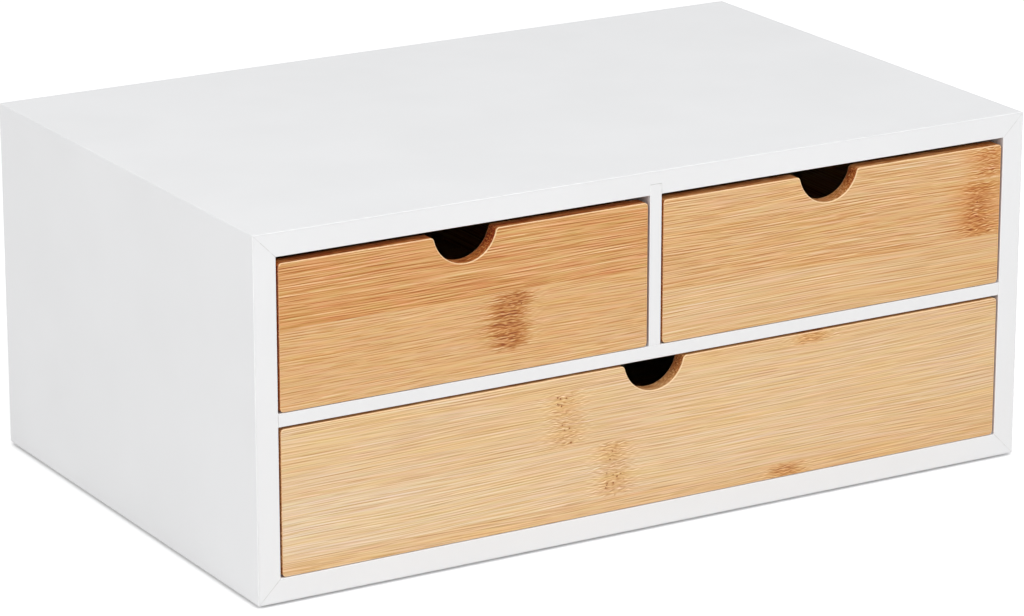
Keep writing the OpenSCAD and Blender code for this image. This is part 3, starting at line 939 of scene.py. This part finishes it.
# %% Strips and knuckles of the right front
RIGHT_JOINT = 91.3
RIGHT_TOP = 127.5
RIGHT_STRIPS = [
    strip(0.25, 0.9, 0.5, 0.7, 0.95, 1.5, 0.12), strip(0.56, 1.2, 0.6, 0.7, 1.0),
    strip(0.46, 1.15, 0.6, 0.7, 0.95),
]
RIGHT_KNUCKLES = [
    knuckle(149.5, RIGHT_JOINT + STRIP_MM, RIGHT_TOP, half=3.0, core=0.22, feather=0.5,
            reach=(4.0, 5.0), haze=0.56, haze_reach=16.0, pores=0.1),
    knuckle(144.9, RIGHT_JOINT, RIGHT_JOINT + STRIP_MM, half=3.0, core=0.44, feather=0.8,
            reach=(6.0, 9.0), haze=0.62, haze_reach=20.0, pores=0.1),
]
print("right front:", len(RIGHT_STRIPS), "strips and", len(RIGHT_KNUCKLES), "knuckles")

# %% Strips and knuckles of the wide front
WIDE_JOINT = 15.8
WIDE_FOOT = 8.0
WIDE_TOP = 67.0
WIDE_STRIPS = [
    strip(0.285, 0.8, 0.9, 0.85, 0.75, 1.0, 0.06), strip(0.09, 0.72, 0.9, 0.85, 0.75, 1.2, 0.1),
    strip(0.16, 0.72, 0.9, 0.85, 0.75, 1.2, 0.03), strip(0.18, 0.9, 0.9, 0.85, 0.75, 1.2, 0.04),
]
WIDE_KNUCKLES = [
    knuckle(-38.5, WIDE_JOINT + STRIP_MM, WIDE_JOINT + 2 * STRIP_MM, half=3.4, core=0.06, feather=0.15,
            haze=0.2, reach=(4.0, 8.0), pores=0.8),
    knuckle(-17.5, WIDE_JOINT, WIDE_JOINT + STRIP_MM, half=3.6, core=0.12, feather=0.2,
            haze=0.2, reach=(2.0, 12.0), pores=0.9),
    knuckle(71.0, WIDE_JOINT + 2 * STRIP_MM, WIDE_TOP, half=4.5, core=0.2, feather=0.4,
            haze=0.45, reach=(3.0, 3.0)),
    knuckle(59.5, WIDE_FOOT, WIDE_JOINT, half=3.8, core=0.5, feather=0.6, haze=0.4, reach=(3.0, 5.0)),
]
print("wide front:", len(WIDE_STRIPS), "strips and", len(WIDE_KNUCKLES), "knuckles")

# %% [markdown]
# The sides and rear of a drawer come from the same board as its front, so they are about as ripe, but
# their joints lie elsewhere and their seeds differ. Their cuts are browned half as much: part of a
# front's brown is painted shade for the gaps round a shut drawer, and the sides and rear show only
# when a drawer is open. The fibres of a side run from front to back.

# %% The three bamboo boards
# how pale the rims of a front are, sanding and painted highlight together
FRONT_RIM = 0.68
# edge: how brown a board's cuts are, partly painted shade of the gaps, deepest on the left front
BOARDS = {
    "left_drawer": {
        "slot": "bamboo_warm", "first_joint": LEFT_JOINT, "seed": 3.0, "ripe": 0.7, "edge": 1.55,
        "stain": FIBRE_STAIN, "strips": LEFT_STRIPS, "knuckles": LEFT_KNUCKLES,
    },
    "right_drawer": {
        "slot": "bamboo_honey", "first_joint": RIGHT_JOINT, "seed": 11.0, "ripe": 0.45, "edge": 1.15,
        "stain": FIBRE_STAIN, "strips": RIGHT_STRIPS, "knuckles": RIGHT_KNUCKLES,
    },
    "wide_drawer": {
        "slot": "bamboo_pale", "first_joint": WIDE_JOINT, "seed": 23.0, "ripe": 0.2, "edge": 1.0,
        "stain": PALE_FIBRE_STAIN, "strips": WIDE_STRIPS, "knuckles": WIDE_KNUCKLES,
    },
}
BOX_EDGE_SHARE = 0.5
BOX_CUTS = {
    "side": {"axes": ("y", "z", "x"), "joint_shift": -9.0, "seed_shift": 40.0},
    "rear": {"axes": ("x", "z", "y"), "joint_shift": 6.0, "seed_shift": 80.0},
}

for drawer, board in BOARDS.items():
    board["front"] = bamboo(
        f"{board['slot']}_front", first_joint=board["first_joint"], seed=board["seed"],
        strips=board["strips"], knuckles=board["knuckles"], edge=board["edge"], rim=FRONT_RIM,
        fibre_stain=board["stain"],
    )
    for part, cut in BOX_CUTS.items():
        board[part] = bamboo(
            f"{board['slot']}_{part}", axes=cut["axes"],
            first_joint=board["first_joint"] + cut["joint_shift"],
            seed=board["seed"] + cut["seed_shift"], ripe=board["ripe"],
            edge=board["edge"] * BOX_EDGE_SHARE,
        )
    print(drawer, "->", board["slot"], "with", len(board["knuckles"]), "knuckles")

# %% [markdown]
# ## The smaller finishes
#
# The thin drawer bottoms are bamboo plywood, with their fibres across the drawer and no knuckles.
# The mitres are held by tongues of birch plywood, which shows its layers on edge. The drawers are
# pinned with beech dowels, the back board with small steel panel pins, and the cabinet stands on
# four discs of grey felt. In wood and felt one cloud drives colour, gloss and relief alike, because
# there the three go together. On steel they don't: tarnish changes the colour, and fine scratches
# change the gloss and the relief.

# %% Plywood
BIRCH_PALE = paint(226, 200, 160)
BIRCH_DARK = paint(200, 168, 124)
BIRCH_LAYER = paint(170, 128, 84)
PLY_LAYER_MM = 0.5

bamboo_ply = bamboo("bamboo_ply", axes=("x", "y", "z"), first_joint=5.0, seed=71.0, ripe=0.35, edge=0.5)

birch_ply, tree, shader, place = new_finish("birch_ply")
long_grain = cloud(tree, place, grain=(1.2, 40.0, 1.2), detail=3.0)
wood = mixed(tree, rise(tree, long_grain, 0.3, 0.7), BIRCH_PALE, BIRCH_DARK)
x, _, z = parts_of(tree, place)
layer = maths(tree, "PINGPONG", maths(tree, "ADD", x, z), PLY_LAYER_MM)
wood = mixed(tree, rise(tree, layer, 0.2, 0.3, 0.0, 0.45), wood, BIRCH_LAYER)
join(tree, wood, shader.inputs["Base Color"])
join(tree, rise(tree, long_grain, 0.3, 0.7, 0.55, 0.7), shader.inputs["Roughness"])
relief(tree, shader, long_grain, depth_mm=0.03)
print("plywoods:", bamboo_ply.name, "and", birch_ply.name)

# %% Beech dowels
BEECH_PALE = paint(222, 184, 140)
BEECH_DARK = paint(192, 148, 102)
BEECH_FLECK = paint(150, 104, 66)

dowel_wood, tree, shader, place = new_finish("dowel_wood")
beech_grain = cloud(tree, place, grain=(0.5, 12.0, 0.5), detail=3.0)
flecks = cloud(tree, place, grain=(0.25, 2.0, 0.25), detail=1.0)
wood = mixed(tree, rise(tree, beech_grain, 0.3, 0.7), BEECH_PALE, BEECH_DARK)
wood = mixed(tree, rise(tree, flecks, 0.6, 0.7, 0.0, 0.5), wood, BEECH_FLECK)
join(tree, wood, shader.inputs["Base Color"])
join(tree, rise(tree, beech_grain, 0.3, 0.7, 0.5, 0.65), shader.inputs["Roughness"])
relief(tree, shader, beech_grain, depth_mm=0.04)
print("dowels:", dowel_wood.name)

# %% Steel pins
STEEL_BRIGHT = (0.60, 0.60, 0.61, 1.0)
STEEL_DULL = (0.38, 0.37, 0.36, 1.0)

pin_steel, tree, shader, place = new_finish("pin_steel")
tarnish = blots(tree, place, width=0.8, detail=4.0)
steel = mixed(tree, rise(tree, tarnish, 0.35, 0.7), STEEL_BRIGHT, STEEL_DULL)
join(tree, steel, shader.inputs["Base Color"])
shader.inputs["Metallic"].default_value = 1.0
scratches = cloud(tree, place, grain=(0.08, 2.0, 0.9), detail=2.0)
join(tree, rise(tree, scratches, 0.3, 0.7, 0.28, 0.48), shader.inputs["Roughness"])
relief(tree, shader, scratches, depth_mm=0.01)
print("pins:", pin_steel.name)

# %% Felt pads
# a real dark grey felt, chosen this dark so the pads read as part of the shadow line under the cabinet,
# a painted shade
FELT_GREY = paint(88, 88, 90)
FELT_DARK = paint(58, 58, 61)
FELT_WISP = paint(120, 120, 122)

felt, tree, shader, place = new_finish("felt")
fuzz = blots(tree, place, width=0.35, detail=4.0, roughness=0.7)
wisps = cloud(tree, place, grain=(1.6, 0.3, 0.5), detail=3.0)
wool = mixed(tree, rise(tree, fuzz, 0.3, 0.7), FELT_GREY, FELT_DARK)
wool = mixed(tree, rise(tree, wisps, 0.58, 0.7, 0.0, 0.5), wool, FELT_WISP)
join(tree, wool, shader.inputs["Base Color"])
join(tree, rise(tree, fuzz, 0.3, 0.7, 0.85, 0.98), shader.inputs["Roughness"])
shader.inputs["Sheen Weight"].default_value = 0.5
shader.inputs["Sheen Roughness"].default_value = 0.5
relief(tree, shader, maths(tree, "ADD", fuzz, wisps), depth_mm=0.12)
print("pads:", felt.name)

# %% [markdown]
# ## From a sharp solid to an eased board
#
# A board that comes off the saw has edges that cut your fingers, so a joiner takes each arris off
# with a few strokes of fine paper. The exact solid has those sharp edges too. A Bevel modifier could
# round them, but left to itself it rounds them all alike, and edges in a joint must stay tight: a
# mitre line is a hairline and not a groove. So each board starts as a copy of its solid, its triangles
# are merged and its flat faces made whole, and then two passes of the bevel operator follow, a wide
# one on the open edges and a hair's width on those where another board meets. The new faces get a
# mark, which the finishes read.

# %% Copy a solid
SAME_POINT = 0.001 * MM
FLAT_ANGLE = math.radians(0.3)
SHARP_ANGLE = math.radians(30.0)


def copied(node):
    """A board as one closed mesh with whole faces."""
    shape = bmesh.new()
    shape.from_mesh(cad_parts[node].data)
    bmesh.ops.remove_doubles(shape, verts=shape.verts, dist=SAME_POINT)
    bmesh.ops.dissolve_limit(
        shape, angle_limit=FLAT_ANGLE, verts=shape.verts, edges=shape.edges,
        use_dissolve_boundaries=False,
    )
    shape.faces.layers.float.new(ARRIS)
    return shape


def outer_corners(shape):
    """The edges that stick out and are sharp to the touch."""
    return [
        edge for edge in shape.edges
        if edge.is_manifold and edge.is_convex and edge.calc_face_angle() > SHARP_ANGLE
    ]


sample = copied("top_panel")
print(f"the top board has {len(sample.faces)} faces and {len(outer_corners(sample))} sharp edges")
sample.free()

# %% Ease the edges
ARRIS_MARK = 1.0
JOINT_MARK = -1.0


def eased(shape, edges, width_mm, steps=3, mark=ARRIS_MARK):
    """Rounds the edges over and marks the new faces as an arris or as a joint line."""
    if not edges:
        return
    made = bmesh.ops.bevel(
        shape, geom=edges, offset=width_mm * MM, offset_type="OFFSET", affect="EDGES",
        segments=steps, profile=0.5, material=-1, clamp_overlap=False,
    )
    arris = shape.faces.layers.float[ARRIS]
    for face in made["faces"]:
        face[arris] = mark


print(f"an arris is marked {ARRIS_MARK} and a joint line {JOINT_MARK}")

# %% Tell a joint from an open edge
SLACK = 0.05 * MM
MOSTLY = 0.7
SAME_SLOPE = 0.01


def near_box(point, node):
    """Whether a point lies in or on the box of a solid."""
    low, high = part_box(node)
    return all(low[i] - SLACK <= point[i] <= high[i] + SLACK for i in range(3))


def in_joint(edge, neighbours):
    """Whether another board meets this edge."""
    middle = (edge.verts[0].co + edge.verts[1].co) / 2
    return any(near_box(middle, node) for node in neighbours)


def on_mitre(edge):
    """Whether an edge borders a face that is cut at 45 degrees."""
    return any(
        abs(abs(face.normal.x) - abs(face.normal.z)) < SAME_SLOPE and abs(face.normal.x) > MOSTLY
        for face in edge.link_faces
    )


def runs_deep(edge):
    """Whether an edge runs from front to back."""
    along = edge.verts[1].co - edge.verts[0].co
    return abs(along.y) > MOSTLY * along.length


print(f"boards that come within {SLACK / MM:.2f} mm of each other meet in a joint")

# %% Finish a piece
SMOOTH_ANGLE = math.radians(40.0)
JOINT_EASE_MM = 0.07
JOINT_STEPS = 1


def finished(node, shape, finish, body):
    """Turns a shape into a piece of the object that stands for its solid and rides on its body."""
    mesh = bpy.data.meshes.new(f"{node}_board")
    shape.to_mesh(mesh)
    shape.free()
    mesh.shade_smooth()
    mesh.set_sharp_from_angle(angle=SMOOTH_ANGLE)
    mesh.materials.append(finish)
    piece = bpy.data.objects.new(mesh.name, mesh)
    bpy.context.scene.collection.objects.link(piece)
    weighted = piece.modifiers.new("even_shading", "WEIGHTED_NORMAL")
    weighted.keep_sharp = True
    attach(piece, body)
    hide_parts(node)
    print(f"{piece.name}: {len(mesh.polygons)} faces, rides on {body}")


def eased_board(node, finish, body, open_width, joint_width=JOINT_EASE_MM, neighbours=(),
                mitred=False):
    """A copy of a solid with its open edges eased and its joint edges kept tight. Joint edges that run
    from front to back stay sharp: inside a joint, and along the corner where two mitres meet."""
    def is_tight(edge):
        """Whether the edge lies in a joint."""
        return in_joint(edge, neighbours) or (mitred and on_mitre(edge))

    shape = copied(node)
    eased(shape, [edge for edge in outer_corners(shape) if not is_tight(edge)], open_width)
    joint_lines = [edge for edge in outer_corners(shape) if is_tight(edge) and not runs_deep(edge)]
    eased(shape, joint_lines, joint_width, steps=JOINT_STEPS, mark=JOINT_MARK)
    finished(node, shape, finish, body)


# %% [markdown]
# ## The cabinet
#
# Four 9 mm boards meet in mitres, and a 5 mm shelf and divider split the inside into three bays.
# The open edges are eased by 0.3 mm, which is what catches the light along the top, and those of the
# thin boards by a little less. The edges of the mitres and of the housings get only a trace, so that
# a joint shows as a hairline under the lacquer.

# %% Outer boards
OUTER_EASE_MM = 0.3
MITRE_EASE_MM = 0.09

for node in ("top_panel", "bottom_panel", "left_side", "right_side"):
    meets = ("centre_divider",) if node == "top_panel" else ()
    eased_board(
        node, white_lacquer, "cabinet", OUTER_EASE_MM, MITRE_EASE_MM, meets,
        mitred=True,
    )

# %% Shelf and divider
THIN_EASE_MM = 0.22

eased_board(
    "shelf", white_lacquer, "cabinet", THIN_EASE_MM, MITRE_EASE_MM,
    ("left_side", "right_side"),
)
eased_board(
    "centre_divider", white_lacquer, "cabinet", THIN_EASE_MM, MITRE_EASE_MM,
    ("top_panel", "shelf"),
)

# %% [markdown]
# The back board is a thin white panel that lies in a rebate, held by small pins all round. The four
# pads are punched from felt, so their rims are soft.

# %% Back board, pins and pads
BACK_EASE_MM = 0.15
PIN_EASE_MM = 0.12
PAD_EASE_MM = 0.25

eased_board("back_panel", white_back_board, "cabinet", BACK_EASE_MM)
eased_board("back_pins", pin_steel, "cabinet", PIN_EASE_MM)
for node in ("front_left_pad", "front_right_pad", "back_left_pad", "back_right_pad"):
    eased_board(node, felt, "cabinet", PAD_EASE_MM)

# %% [markdown]
# ## The drawers
#
# Each drawer is a 6 mm front with a half-round finger notch, two sides, a rear board and a thin
# bottom. A front is rounded over by about 0.4 mm along its top edge, its ends and the rim of its
# notch, because that is where fingers go. Its lower edge is hardly touched. The paper bites less on
# the ends, across the fibres, so they keep most of their colour: their mark is turned down. The
# corners between the boards of the box are butt joints, and a side's edges stay tight where it meets
# the front.

# %% Fronts
FRONT_EASE_MM = 0.38
LOWER_EASE_MM = 0.15
END_MARK = 0.25


def eased_front(drawer, finish):
    """A drawer front, rounded less along its lower edge and marked less at its ends."""
    node = f"{drawer}_front"
    low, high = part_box(node)
    reach = FRONT_EASE_MM * MM

    def is_lower(edge):
        """Whether the edge lies along the foot of the front."""
        return all(point.co.z < low.z + reach for point in edge.verts)

    shape = copied(node)
    eased(shape, [edge for edge in outer_corners(shape) if not is_lower(edge)], FRONT_EASE_MM)
    arris = shape.faces.layers.float[ARRIS]
    for face in shape.faces:
        if not low.x + reach < face.calc_center_median().x < high.x - reach:
            face[arris] *= END_MARK
    lower = [edge for edge in outer_corners(shape) if is_lower(edge) and not runs_deep(edge)]
    eased(shape, lower, LOWER_EASE_MM)
    finished(node, shape, finish, drawer)


for drawer, board in BOARDS.items():
    eased_front(drawer, board["front"])

# %% Drawer boxes
BOX_EASE_MM = 0.4
PLY_EASE_MM = 0.1

for drawer, board in BOARDS.items():
    for side in ("left_side", "right_side"):
        eased_board(
            f"{drawer}_{side}", board["side"], drawer, BOX_EASE_MM,
            neighbours=(f"{drawer}_front",),
        )
    eased_board(f"{drawer}_rear", board["rear"], drawer, BOX_EASE_MM)
    eased_board(f"{drawer}_bottom", bamboo_ply, drawer, PLY_EASE_MM)

# %% [markdown]
# ## What stays inside
#
# The tongues in the mitres and the dowels in the drawers are never seen unless a board comes off.
# Their solids stay as they are, and only get their wood.

# %% Hidden joints
for name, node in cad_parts.items():
    if name.endswith("_tongue"):
        node.data.materials[0] = birch_ply
        print(name, "is", birch_ply.name)
    if name.endswith("_dowels"):
        node.data.materials[0] = dowel_wood
        print(name, "are", dowel_wood.name)
